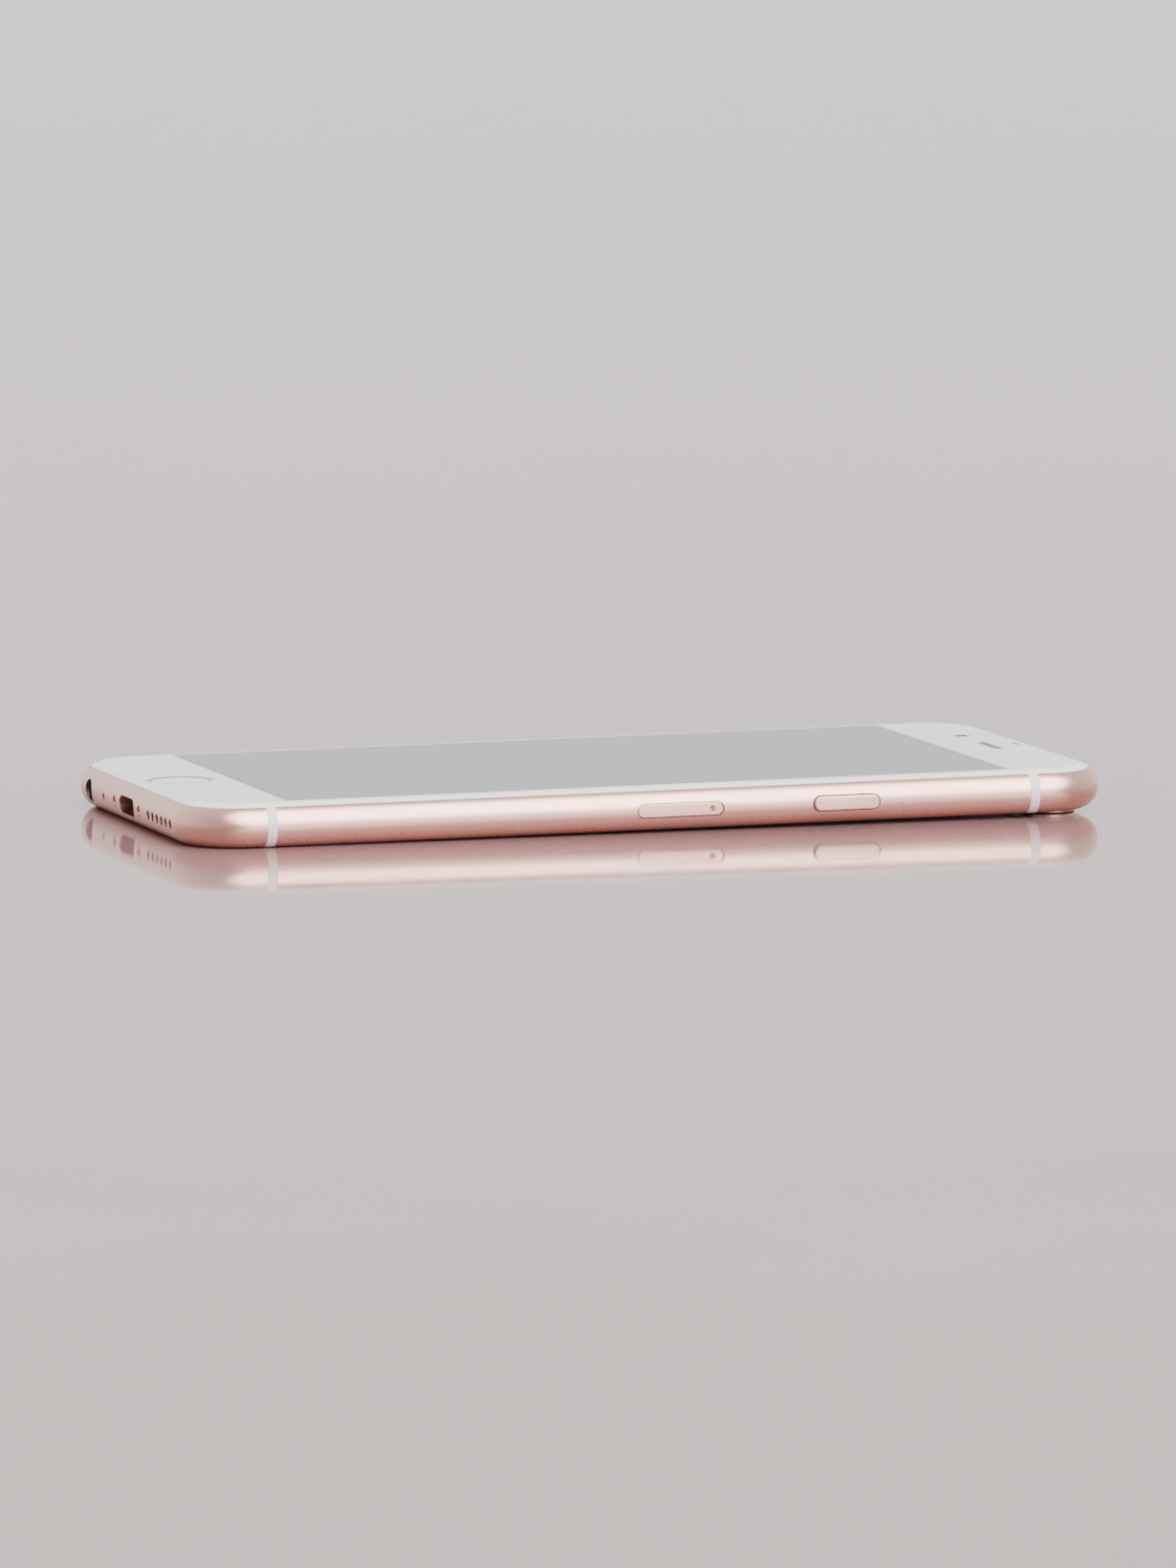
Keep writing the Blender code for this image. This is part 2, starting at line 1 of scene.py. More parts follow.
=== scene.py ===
"""The looks of the smartphone: smooth shells, glass, keys and their materials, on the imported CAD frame.

Sizes and places are in millimetres, in the frame's own axes: +X is the phone's right side, +Y its top
end and +Z comes out of the screen. Shape.build() turns them into metres. What goes straight to Blender,
such as the camera's distance, is in metres.
"""

import json
import math

import bmesh
import bpy
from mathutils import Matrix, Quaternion, Vector


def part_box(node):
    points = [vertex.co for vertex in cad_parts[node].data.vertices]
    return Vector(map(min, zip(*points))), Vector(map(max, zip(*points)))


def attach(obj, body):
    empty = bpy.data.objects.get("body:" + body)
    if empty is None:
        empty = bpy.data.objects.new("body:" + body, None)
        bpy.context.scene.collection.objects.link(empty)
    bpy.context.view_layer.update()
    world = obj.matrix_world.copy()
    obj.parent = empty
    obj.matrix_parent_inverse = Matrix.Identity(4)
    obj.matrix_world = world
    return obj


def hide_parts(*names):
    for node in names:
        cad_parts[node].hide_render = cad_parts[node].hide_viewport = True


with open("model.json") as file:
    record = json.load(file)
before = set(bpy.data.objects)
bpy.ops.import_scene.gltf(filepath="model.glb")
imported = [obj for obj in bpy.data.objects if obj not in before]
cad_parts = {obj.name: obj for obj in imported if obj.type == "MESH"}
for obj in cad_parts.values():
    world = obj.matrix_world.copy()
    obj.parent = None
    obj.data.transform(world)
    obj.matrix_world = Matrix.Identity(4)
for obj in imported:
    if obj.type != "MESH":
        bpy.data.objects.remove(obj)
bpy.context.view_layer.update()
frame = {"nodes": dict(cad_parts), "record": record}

METRES = 0.001  # one millimetre
PHONE = "phone"

# What follows each axis in cyclic order: the two directions of a section across it.
ACROSS = {"X": (1, 2, 0), "Y": (2, 0, 1), "Z": (0, 1, 2)}


def box(node):
    """Lowest and highest corner of a CAD node, in millimetres."""
    low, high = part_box(node)
    return low / METRES, high / METRES


def middle(node):
    low, high = box(node)
    return (low + high) / 2


# The phone's outline and edge. The edge is a half ellipse round the case and the rim of the glass.
HALF_X = box("rear_case")[1].x
HALF_Y = box("case_top_end")[1].y
BACK_Z = box("rear_case")[0].z
FRONT_Z = box("cover_glass")[1].z
CORNER_R = 11.5
EDGE_REACH = 3.4
MID_Z = BACK_Z + 3.6
RISE = FRONT_Z - MID_Z
FALL = MID_Z - BACK_Z
WALL = 2.4
FLOOR_Z = BACK_Z + 0.9
LEDGE_Z = BACK_Z + 5.85
METAL_STOPS = 55.0  # degrees round the edge, up from its widest line, where the metal ends
GLASS_STARTS = 58.5
GLASS_UNDER = FRONT_Z - 0.8
GROOVE = 0.09  # between metal and glass
SEAM = 0.03  # between metal and antenna band
BAND = box("antenna_band_top")
CORNER_STEPS = 20

# Cutters run past what they cut, so that they leave no skin behind.
PAST_PHONE = 5.0
PAST_WALL = 1.0
PLAY = 0.012  # round each pane in the cover glass
CRISP = 35.0  # degrees, for small machined pieces, whose edges stay sharp from here

# The screen, behind the glass.
SCREEN_X = 68.5
SCREEN_Y = 121.8
MASK = 0.75  # black line printed round the lit area
SCREEN_CORNER = 0.3

# Openings in the sides take their places from the pieces that fill them.
KEY_Z = middle("side_key").z
KEY_HALF_Z = 1.25
KEY_PROUD = 0.4
FLANGE = 0.7
SLIT = 0.12
BEHIND_WALL = HALF_X - WALL - 0.15  # where the flanges and the shutter meet the wall, from inside
PORT_Z = middle("charge_port_shell").z
HOLE_MARGIN = 1.1  # from the end of the loudspeaker mesh to its first hole
HOLE_PITCH = 2.7
HOLE_X = [box("speaker_mesh")[0].x + HOLE_MARGIN + HOLE_PITCH * number for number in range(6)]


# ---------------------------------------------------------------- shapes

def rounded(half_u, half_v, radius, steps):
    """Counter-clockwise outline of a rectangle with round corners, centred on 0, 0."""
    points = []
    for quarter, (sign_u, sign_v) in enumerate(((1, 1), (-1, 1), (-1, -1), (1, -1))):
        for step in range(steps + 1):
            angle = math.radians(90 * (quarter + step / steps))
            u = sign_u * (half_u - radius) + radius * math.cos(angle)
            v = sign_v * (half_v - radius) + radius * math.sin(angle)
            points.append((u, v))
    return points


def section(axis, centre, half, offset, steps=12):
    """A rounded rectangle, half = (half_u, half_v, radius), across an axis at this offset."""
    u_axis, v_axis, along = ACROSS[axis]
    ring = []
    for u, v in rounded(*half, steps):
        point = [0.0, 0.0, 0.0]
        point[u_axis] = centre[0] + u
        point[v_axis] = centre[1] + v
        point[along] = offset
        ring.append(point)
    return ring


class Shape:
    """A mesh being made, in millimetres. Each call adds one closed solid, or ring, to it."""

    def __init__(self):
        self.mesh = bmesh.new()

    def skin(self, rings, closed=False):
        """Joins rings of equally many points. The ends are capped, or joined if closed."""
        loops = [[self.mesh.verts.new(point) for point in ring] for ring in rings]
        pairs = list(zip(loops, loops[1:]))
        if closed:
            pairs.append((loops[-1], loops[0]))
        else:
            self.mesh.faces.new(reversed(loops[0]))
            self.mesh.faces.new(loops[-1])
        count = len(rings[0])
        for low, high in pairs:
            for i in range(count):
                j = (i + 1) % count
                self.mesh.faces.new((low[i], low[j], high[j], high[i]))
        return self

    def stack(self, axis, centre, half, sections, closed=False, steps=12):
        """Rounded rectangles of half = (half_u, half_v, radius) at sections = (offset, inset)."""
        rings = []
        for offset, inset in sections:
            size = (half[0] - inset, half[1] - inset, max(half[2] - inset, 0.0))
            rings.append(section(axis, centre, size, offset, steps))
        return self.skin(rings, closed)

    def turn(self, axis, centre, profile, closed=False, steps=16):
        """A turned solid from (offset, radius) pairs."""
        sections = [(offset, -radius) for offset, radius in profile]
        return self.stack(axis, centre, (0.0, 0.0, 0.0), sections, closed, steps)

    def block(self, low, high, radius=0.0):
        """An upright box from corner to corner, with round upright edges."""
        centre = ((low[0] + high[0]) / 2, (low[1] + high[1]) / 2)
        half = ((high[0] - low[0]) / 2, (high[1] - low[1]) / 2, radius)
        return self.stack("Z", centre, half, [(low[2], 0.0), (high[2], 0.0)], steps=4)

    def build(self, name, sharp=32.0):
        """The object, in metres, smooth except at edges sharper than this many degrees."""
        bmesh.ops.remove_doubles(self.mesh, verts=self.mesh.verts, dist=1e-4)
        bmesh.ops.scale(self.mesh, vec=(METRES,) * 3, verts=self.mesh.verts)
        data = bpy.data.meshes.new(name)
        self.mesh.to_mesh(data)
        self.mesh.free()
        data.shade_smooth()
        data.set_sharp_from_angle(angle=math.radians(sharp))
        obj = bpy.data.objects.new(name, data)
        bpy.context.scene.collection.objects.link(obj)
        return obj


def boolean(obj, other, operation, sharp=32.0):
    """Cuts obj with other, or keeps what they share, and removes other."""
    modifier = obj.modifiers.new(operation, "BOOLEAN")
    modifier.operation = operation
    modifier.object = other
    graph = bpy.context.evaluated_depsgraph_get()
    made = bpy.data.meshes.new_from_object(obj.evaluated_get(graph))
    obj.modifiers.clear()
    old = obj.data
    obj.data = made
    made.name = obj.name
    bpy.data.meshes.remove(old)
    bpy.data.objects.remove(other)
    made.shade_smooth()
    made.set_sharp_from_angle(angle=math.radians(sharp))
    return obj


def fillet(face, radius, steps=5):
    """(offset, inset) pairs that round a flat end at this offset."""
    angles = [math.radians(90 * step / steps) for step in range(steps + 1)]
    return [(face - radius + radius * math.sin(a), radius * (1 - math.cos(a))) for a in angles]


# ---------------------------------------------------------------- the phone's outer skin

def skin_point(degrees):
    """(inset, z) on the edge's half ellipse, at an angle up from its widest line."""
    angle = math.radians(degrees)
    reach = RISE if degrees > 0 else FALL
    return EDGE_REACH * (1 - math.cos(angle)), MID_Z + reach * math.sin(angle)


def skin_arc(start, end, steps):
    return [skin_point(start + (end - start) * step / steps) for step in range(steps + 1)]


def body_rings(profile):
    """Rings round the whole phone from (inset, z) pairs."""
    rings = []
    for inset, z in profile:
        outline = rounded(HALF_X - inset, HALF_Y - inset, CORNER_R - inset, CORNER_STEPS)
        rings.append([(x, y, z) for x, y in outline])
    return rings


def skin_normal(point):
    """(outward direction, 1.0 where the point is on the skin) for a point in millimetres."""
    over_x = max(abs(point.x) - (HALF_X - CORNER_R), 0.0)
    over_y = max(abs(point.y) - (HALF_Y - CORNER_R), 0.0)
    radial = Vector((math.copysign(over_x, point.x), math.copysign(over_y, point.y), 0.0))
    reach = max(radial.length - (CORNER_R - EDGE_REACH), 0.0) / EDGE_REACH
    height = RISE if point.z > MID_Z else FALL
    rise = (point.z - MID_Z) / height
    normal = radial.normalized() * (reach / EDGE_REACH) + Vector((0, 0, rise / height))
    return normal.normalized(), math.hypot(reach, rise)


def polish(obj, tolerance=0.03, agreement=0.9):
    """Gives what lies on the phone's skin the skin's own normals, so that cuts don't dent its shine.

    A face lies on the skin if its middle is within the tolerance, a share of the edge's height, and its
    own normal agrees with the skin's.
    """
    data = obj.data
    normals = [(0.0, 0.0, 0.0)] * len(data.loops)
    for face in data.polygons:
        direction, on_skin = skin_normal(face.center / METRES)
        if abs(on_skin - 1.0) > tolerance or direction.dot(face.normal) < agreement:
            continue
        for loop in face.loop_indices:
            corner = data.vertices[data.loops[loop].vertex_index].co / METRES
            normals[loop] = skin_normal(corner)[0]
    data.normals_split_custom_set(normals)
    return obj


# ---------------------------------------------------------------- materials

class Surface:
    """A procedural material. Its patterns run through the object's own coordinates."""

    def __init__(self, name, **sockets):
        self.material = bpy.data.materials.new(name)
        self.material.use_nodes = True
        self.tree = self.material.node_tree
        self.shader = self.tree.nodes["Principled BSDF"]
        for socket, value in sockets.items():
            self.shader.inputs[socket.replace("_", " ")].default_value = value
        self.coordinates = self.tree.nodes.new("ShaderNodeTexCoord").outputs["Object"]

    def link(self, output, socket):
        self.tree.links.new(output, self.shader.inputs[socket])
        return self

    def placed(self, size, stretch=(1.0, 1.0, 1.0)):
        """The coordinates, with one unit for each size millimetres."""
        mapping = self.tree.nodes.new("ShaderNodeMapping")
        mapping.inputs["Scale"].default_value = [s / (size * METRES) for s in stretch]
        self.tree.links.new(self.coordinates, mapping.inputs["Vector"])
        return mapping.outputs["Vector"]

    def noise(self, size, detail=2.0, stretch=(1.0, 1.0, 1.0)):
        """Cloudy noise with features of this size, in millimetres."""
        node = self.tree.nodes.new("ShaderNodeTexNoise")
        node.inputs["Scale"].default_value = 1.0
        node.inputs["Detail"].default_value = detail
        self.tree.links.new(self.placed(size, stretch), node.inputs["Vector"])
        return node.outputs["Fac"]

    def cells(self, size, stretch=(1.0, 1.0, 1.0)):
        """Distance from the nearest of points strewn this far apart."""
        node = self.tree.nodes.new("ShaderNodeTexVoronoi")
        node.inputs["Scale"].default_value = 1.0
        self.tree.links.new(self.placed(size, stretch), node.inputs["Vector"])
        return node.outputs["Distance"]

    def span(self, value, low, high, start=0.0, end=1.0):
        """value from low to high, taken to start to end."""
        node = self.tree.nodes.new("ShaderNodeMapRange")
        for socket, number in zip(("From Min", "From Max", "To Min", "To Max"), (low, high, start, end)):
            node.inputs[socket].default_value = number
        self.tree.links.new(value, node.inputs["Value"])
        return node.outputs["Result"]

    def maths(self, operation, first, second):
        node = self.tree.nodes.new("ShaderNodeMath")
        node.operation = operation
        for socket, value in zip(node.inputs, (first, second)):
            if isinstance(value, float):
                socket.default_value = value
            else:
                self.tree.links.new(value, socket)
        return node.outputs["Value"]

    def tint(self, value, low_colour, high_colour, low=0.0, high=1.0):
        """From one colour to the other as value goes from low to high."""
        node = self.tree.nodes.new("ShaderNodeValToRGB")
        stops = ((low, low_colour), (high, high_colour))
        for element, (place, colour) in zip(node.color_ramp.elements, stops):
            element.position = place
            element.color = (*colour, 1.0)
        self.tree.links.new(value, node.inputs["Fac"])
        return node.outputs["Color"]

    def mix(self, value, low, high):
        """From one colour output to another."""
        node = self.tree.nodes.new("ShaderNodeMix")
        node.data_type = "RGBA"
        self.tree.links.new(value, node.inputs["Factor"])
        colours = [socket for socket in node.inputs if socket.type == "RGBA"]
        for socket, colour in zip(colours, (low, high)):
            if isinstance(colour, tuple):
                socket.default_value = (*colour, 1.0)
            else:
                self.tree.links.new(colour, socket)
        return next(socket for socket in node.outputs if socket.type == "RGBA")

    def bump(self, height, depth, strength=1.0):
        """Relief of this depth, in millimetres."""
        node = self.tree.nodes.new("ShaderNodeBump")
        node.inputs["Distance"].default_value = depth * METRES
        node.inputs["Strength"].default_value = strength
        self.tree.links.new(height, node.inputs["Height"])
        return self.link(node.outputs["Normal"], "Normal")


def satin_metal(name, dark, light, rough):
    """Bead-blasted and anodised aluminium: fine grain, faint clouds of colour, a few rubbed spots."""
    made = Surface(name, Metallic=1.0)
    clouds = made.noise(16.0, 3.0)
    grain = made.noise(0.11, 2.0)
    rubbed = made.maths(
        "MULTIPLY",
        made.span(made.noise(1.1, 5.0), 0.56, 0.66),
        made.span(made.noise(13.0, 1.0), 0.5, 0.66),
    )
    anodised = made.tint(clouds, dark, light, 0.3, 0.7)
    bare = tuple(min(1.0, 0.6 * channel + 0.38) for channel in light)
    made.link(made.mix(made.maths("MULTIPLY", rubbed, 0.12), anodised, bare), "Base Color")
    worn = made.maths("MULTIPLY", rubbed, 0.03)
    grainy = made.span(grain, 0.3, 0.7, rough - 0.035, rough + 0.035)
    made.link(made.maths("SUBTRACT", grainy, worn), "Roughness")
    return made.bump(grain, 0.0035)


def sheet_metal(name, colour, rough, stretch=(1.0, 1.0, 1.0)):
    """Rolled and stamped metal, its grain drawn out along the axis with the smallest stretch."""
    made = Surface(name, Metallic=1.0)
    drawn = made.noise(0.25, 3.0, stretch)
    blotches = made.noise(5.0, 3.0)
    darker = tuple(0.82 * channel for channel in colour)
    made.link(made.tint(blotches, darker, colour, 0.3, 0.7), "Base Color")
    made.link(made.span(drawn, 0.25, 0.75, rough - 0.08, rough + 0.1), "Roughness")
    return made.bump(drawn, 0.006)


def glass(name, colour, shade, rough=0.04):
    """Polished glass over a painted or dark layer, with faint finger marks in its gloss."""
    made = Surface(name, IOR=1.5)
    paint = made.noise(24.0, 2.0)
    made.link(made.tint(paint, shade, colour, 0.35, 0.65), "Base Color")
    patches = made.span(made.noise(19.0, 2.0), 0.5, 0.7)
    marks = made.maths("MULTIPLY", patches, made.noise(1.6, 6.0))
    made.link(made.span(marks, 0.0, 0.6, rough, rough + 0.07), "Roughness")
    return made.bump(made.noise(30.0, 1.0), 0.004, 0.4)


def plastic(name, colour, rough, grain=0.35, depth=0.008, shade=0.85):
    """Moulded plastic, rubber or film: fine grain and a slight change of shade."""
    made = Surface(name, IOR=1.48)
    clouds = made.noise(6.0, 4.0)
    fine = made.noise(grain, 3.0)
    made.link(made.tint(clouds, tuple(shade * c for c in colour), colour, 0.3, 0.7), "Base Color")
    made.link(made.span(fine, 0.3, 0.7, rough - 0.06, rough + 0.06), "Roughness")
    return made.bump(fine, depth)


def circuit(name, ground, copper, pitch):
    """Solder mask over copper: tracks and pads show as a paler relief."""
    made = Surface(name, IOR=1.5)
    tracks = made.span(made.cells(pitch, (1.0, 0.35, 1.0)), 0.28, 0.34)
    pads = made.span(made.cells(pitch * 0.7), 0.16, 0.12)
    relief = made.maths("MAXIMUM", tracks, pads)
    made.link(made.mix(relief, ground, copper), "Base Color")
    made.link(made.span(made.noise(0.6, 3.0), 0.3, 0.7, 0.28, 0.42), "Roughness")
    return made.bump(relief, 0.03, 0.6)


def woven(name, colour):
    """Drawn wire, a little uneven in colour."""
    made = Surface(name, Metallic=1.0)
    fine = made.noise(0.2, 3.0)
    made.link(made.tint(fine, tuple(0.6 * c for c in colour), colour, 0.3, 0.7), "Base Color")
    made.link(made.span(fine, 0.3, 0.7, 0.34, 0.5), "Roughness")
    return made.bump(fine, 0.004)


def diffuser(name):
    """Clear pale yellow plastic, cloudy inside."""
    made = Surface(name, IOR=1.5, Subsurface_Weight=0.2)
    made.shader.inputs["Subsurface Radius"].default_value = (0.0006, 0.0005, 0.0003)
    clouds = made.noise(0.9, 3.0)
    made.link(made.tint(clouds, (0.86, 0.78, 0.5), (0.93, 0.9, 0.74), 0.3, 0.7), "Base Color")
    made.link(made.span(made.noise(0.3, 2.0), 0.3, 0.7, 0.14, 0.24), "Roughness")
    return made.bump(made.noise(0.25, 2.0), 0.006)


ROSE_DARK = (0.76, 0.45, 0.38)
ROSE_LIGHT = (0.785, 0.475, 0.4)
surfaces = {
    "rose_metal": satin_metal("rose_metal", ROSE_DARK, ROSE_LIGHT, 0.27),
    "band_plastic": plastic("band_plastic", (0.80, 0.72, 0.69), 0.42, 0.3, 0.006, 0.95),
    "front_glass": glass("front_glass", (0.83, 0.83, 0.835), (0.80, 0.80, 0.81)),
    "home_glass": glass("home_glass", (0.84, 0.84, 0.845), (0.81, 0.81, 0.82), 0.05),
    "lens_glass": glass("lens_glass", (0.012, 0.012, 0.02), (0.006, 0.007, 0.012), 0.02),
    "flash_diffuser": diffuser("flash_diffuser"),
    "black_plastic": plastic("black_plastic", (0.022, 0.022, 0.025), 0.42),
    "display_stack": glass("display_stack", (0.014, 0.014, 0.0165), (0.012, 0.012, 0.0145)),
    "steel": sheet_metal("steel", (0.60, 0.60, 0.61), 0.3, (1.0, 0.12, 1.0)),
    "steel_mesh": woven("steel_mesh", (0.2, 0.2, 0.21)),
    "screw_metal": sheet_metal("screw_metal", (0.72, 0.46, 0.4), 0.26),
    "seal_rubber": plastic("seal_rubber", (0.03, 0.03, 0.03), 0.62, 0.2, 0.012),
    "battery_foil": plastic("battery_foil", (0.028, 0.028, 0.03), 0.38, 2.2, 0.05),
    "board": circuit("board", (0.012, 0.05, 0.03), (0.05, 0.14, 0.07), 1.4),
    "white_film": plastic("white_film", (0.84, 0.84, 0.81), 0.36, 0.5, 0.005, 0.94),
    "flex_film": circuit("flex_film", (0.3, 0.12, 0.025), (0.5, 0.24, 0.07), 1.0),
    "coax_jacket": plastic("coax_jacket", (0.2, 0.2, 0.21), 0.45),
}
mask_black = glass("mask_black", (0.006, 0.006, 0.007), (0.004, 0.004, 0.005)).material
alert_orange = plastic("alert_orange", (0.85, 0.18, 0.02), 0.4).material
contact_gold = sheet_metal("contact_gold", (0.86, 0.62, 0.26), 0.24).material
lens_coating = glass("lens_coating", (0.012, 0.008, 0.032), (0.004, 0.012, 0.022), 0.015).material


def dress(obj, body, slot=None, replaces=(), material=None):
    """Gives a piece the material of its slot, or the material given, and lets it ride on a CAD body."""
    obj.data.materials.clear()
    obj.data.materials.append(material or surfaces[slot].material)
    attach(obj, body)
    if replaces:
        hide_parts(*replaces)
    return obj


# ---------------------------------------------------------------- case

GLASS_INSET = skin_point(GLASS_STARTS)[0]


def case_shell(name):
    """The whole case as one tub: back, rounded edge, rim, ledge under the glass, and floor."""
    outside = skin_arc(-90.0, METAL_STOPS, steps=29)
    rim_z = outside[-1][1]
    inner = GLASS_INSET - GROOVE
    soft = 0.03  # width of the softened edge inside the rim
    profile = outside + [
        (inner - soft, rim_z - soft / 2),
        (inner, rim_z - 2 * soft),
        (inner, LEDGE_Z),
        (WALL, LEDGE_Z),
        (WALL, FLOOR_Z),
    ]
    return Shape().skin(body_rings(profile)).build(name)


def case_part(name, low_y, high_y, cutters=()):
    """The stretch of the case between two planes across the phone, with its openings cut."""
    part = case_shell(name)
    low = (-HALF_X - PAST_PHONE, low_y, BACK_Z - PAST_PHONE)
    high = (HALF_X + PAST_PHONE, high_y, FRONT_Z + PAST_PHONE)
    boolean(part, Shape().block(low, high).build("slab"), "INTERSECT")
    for cutter in cutters:
        boolean(part, cutter, "DIFFERENCE")
    return polish(part)


def side_slot(side, y, half):
    """A cutter through a long side: side is 1 for the right, -1 for the left."""
    ends = sorted((side * (HALF_X + 2 * PAST_WALL), side * (HALF_X - WALL - PAST_WALL)))
    return Shape().stack("X", (y, KEY_Z), half, [(x, 0.0) for x in ends]).build("slot")


def countersunk(axis, centre, face, radius, depth, rim=0.12, steps=10):
    """A round cutter going in along the axis from a face at this offset, which it chamfers by the rim."""
    before = 0.5
    sections = [(face - before, radius + rim + before), (face + rim, radius), (face + depth, radius)]
    return Shape().turn(axis, centre, sections, steps=steps).build("hole")


def end_hole(x, radius, rim=0.12, steps=10):
    return countersunk("Y", (PORT_Z, x), -HALF_Y, radius, WALL + PAST_WALL, rim, steps)


def key_place(node):
    """(middle along the side, half length of the cap) of a push key, whose flange is its widest part."""
    low, high = box(node)
    return (low.y + high.y) / 2, (high.y - low.y) / 2 - FLANGE


# Half sizes of slots are (along the phone or its end, through its thickness, corner radius).
TRAY_Y = middle("sim_tray").y
TRAY_HALF = (box("sim_tray")[1].y - TRAY_Y, 1.1, 1.1)
TRAY_GAP = 0.1
MUTE_Y = middle("mute_slider").y
MUTE_HALF = (3.2, 1.3, 0.5)
PORT_HALF = (1.45, 4.5, 1.44)  # only here the thickness comes first
PORT_GAP = 0.05
JACK_R = 1.95
MIC_R = 0.6
SPEAKER_HOLE_R = 0.75
SCREW_HOLE_R = 0.95
JACK_X = middle("headphone_jack").x
MIC_X = middle("bottom_microphone").x
SCREW_X = middle("bottom_screw_right").x
CAMERA = middle("camera_ring")
FLASH = middle("flash_lens")
REAR_MIC = middle("rear_microphone")


def key_slot(node, side):
    y, half_y = key_place(node)
    half_z = KEY_HALF_Z + SLIT
    return side_slot(side, y, (half_y + SLIT, half_z, half_z))


def port_hole():
    """The charging port's cutter, with a chamfer of 0.12 mm at the mouth."""
    half = [size + PORT_GAP for size in PORT_HALF]
    inside = -HALF_Y + WALL + PAST_WALL
    sections = [(-HALF_Y - 0.5, -0.6), (-HALF_Y + 0.12, 0.0), (inside, 0.0)]
    return Shape().stack("Y", (PORT_Z, 0.0), half, sections).build("hole")


def build_case():
    rear_end = BAND[0].y - SEAM
    cutters = [key_slot("side_key", 1), key_slot("volume_up_key", -1), key_slot("volume_down_key", -1)]
    cutters.append(side_slot(-1, MUTE_Y, MUTE_HALF))
    cutters.append(side_slot(1, TRAY_Y, [size + TRAY_GAP for size in TRAY_HALF]))
    rear = case_part("rear_shell", -rear_end, rear_end, cutters)
    dress(rear, PHONE, "rose_metal", ["rear_case"])

    through = 1.5
    cutters = [
        countersunk("Z", CAMERA.xy, BACK_Z, radius=3.9, depth=through, rim=0.0),
        countersunk("Z", FLASH.xy, BACK_Z, radius=2.15, depth=through, rim=0.08),
        countersunk("Z", REAR_MIC.xy, BACK_Z, radius=0.6, depth=through, rim=0.08),
    ]
    top = case_part("top_shell", BAND[1].y + SEAM, HALF_Y + PAST_PHONE, cutters)
    dress(top, PHONE, "rose_metal", ["case_top_end"])

    cutters = [port_hole(), end_hole(JACK_X, JACK_R, steps=16), end_hole(MIC_X, MIC_R)]
    cutters += [end_hole(x, SPEAKER_HOLE_R) for x in HOLE_X]
    cutters += [end_hole(side * SCREW_X, SCREW_HOLE_R, rim=0.05) for side in (-1, 1)]
    bottom = case_part("bottom_shell", -HALF_Y - PAST_PHONE, -BAND[1].y - SEAM, cutters)
    dress(bottom, PHONE, "rose_metal", ["case_bottom_end"])

    for label, side in (("top", 1), ("bottom", -1)):
        low, high = sorted((side * BAND[0].y, side * BAND[1].y))
        band = case_part(f"band_{label}", low, high)
        dress(band, PHONE, "band_plastic", [f"antenna_band_{label}"])


# ---------------------------------------------------------------- front

CHIN = middle("home_button_cap")
EARPIECE = middle("earpiece_mesh")
FRONT_CAMERA = middle("front_camera")
SENSOR = middle("proximity_sensor")
WINDOW_R = 1.55
EYE_R = 0.75
EYE_PLAY = 0.03
SENSOR_HALF = (1.5, 0.65, 0.65)
EARPIECE_HALF = (6.2, 0.85, 0.85)
GRID_HALF = (5.95, 0.6, 0.6)
HOME_HOLE_R = 5.66
HOME_CAP_R = 4.82
HOME_RING = (4.95, 5.52)  # inner and outer radius
THROUGH_GLASS = [(GLASS_UNDER - PAST_WALL, 0.0), (FRONT_Z + PAST_WALL, 0.0)]


def front_window(name, centre, half, material):
    """A dark window in the white, flush with the glass, with a small lens in it if it has a material.

    Returns the cutter for its opening.
    """
    depth = [(GLASS_UNDER, 0.0), (FRONT_Z, 0.0)]
    pane = Shape().stack("Z", centre.xy, half, depth).build(name)
    if material:
        eye_hole = Shape().turn("Z", centre.xy, [(FRONT_Z - 0.25, EYE_R), (FRONT_Z + 0.2, EYE_R + 0.1)])
        boolean(pane, eye_hole.build("hole"), "DIFFERENCE")
        rim = EYE_R - EYE_PLAY
        dome = [(FRONT_Z - 0.3, rim), (FRONT_Z - 0.14, rim), (FRONT_Z - 0.09, 0.5)]
        dome += [(FRONT_Z - 0.06, 0.25), (FRONT_Z - 0.05, 0.05)]
        eye = Shape().turn("Z", centre.xy, dome).build(name.replace("window", "eye"), 50.0)
        dress(eye, PHONE, "lens_glass", material=material)
    dress(pane, PHONE, "lens_glass")
    return Shape().stack("Z", centre.xy, [size + PLAY for size in half], THROUGH_GLASS).build("hole")


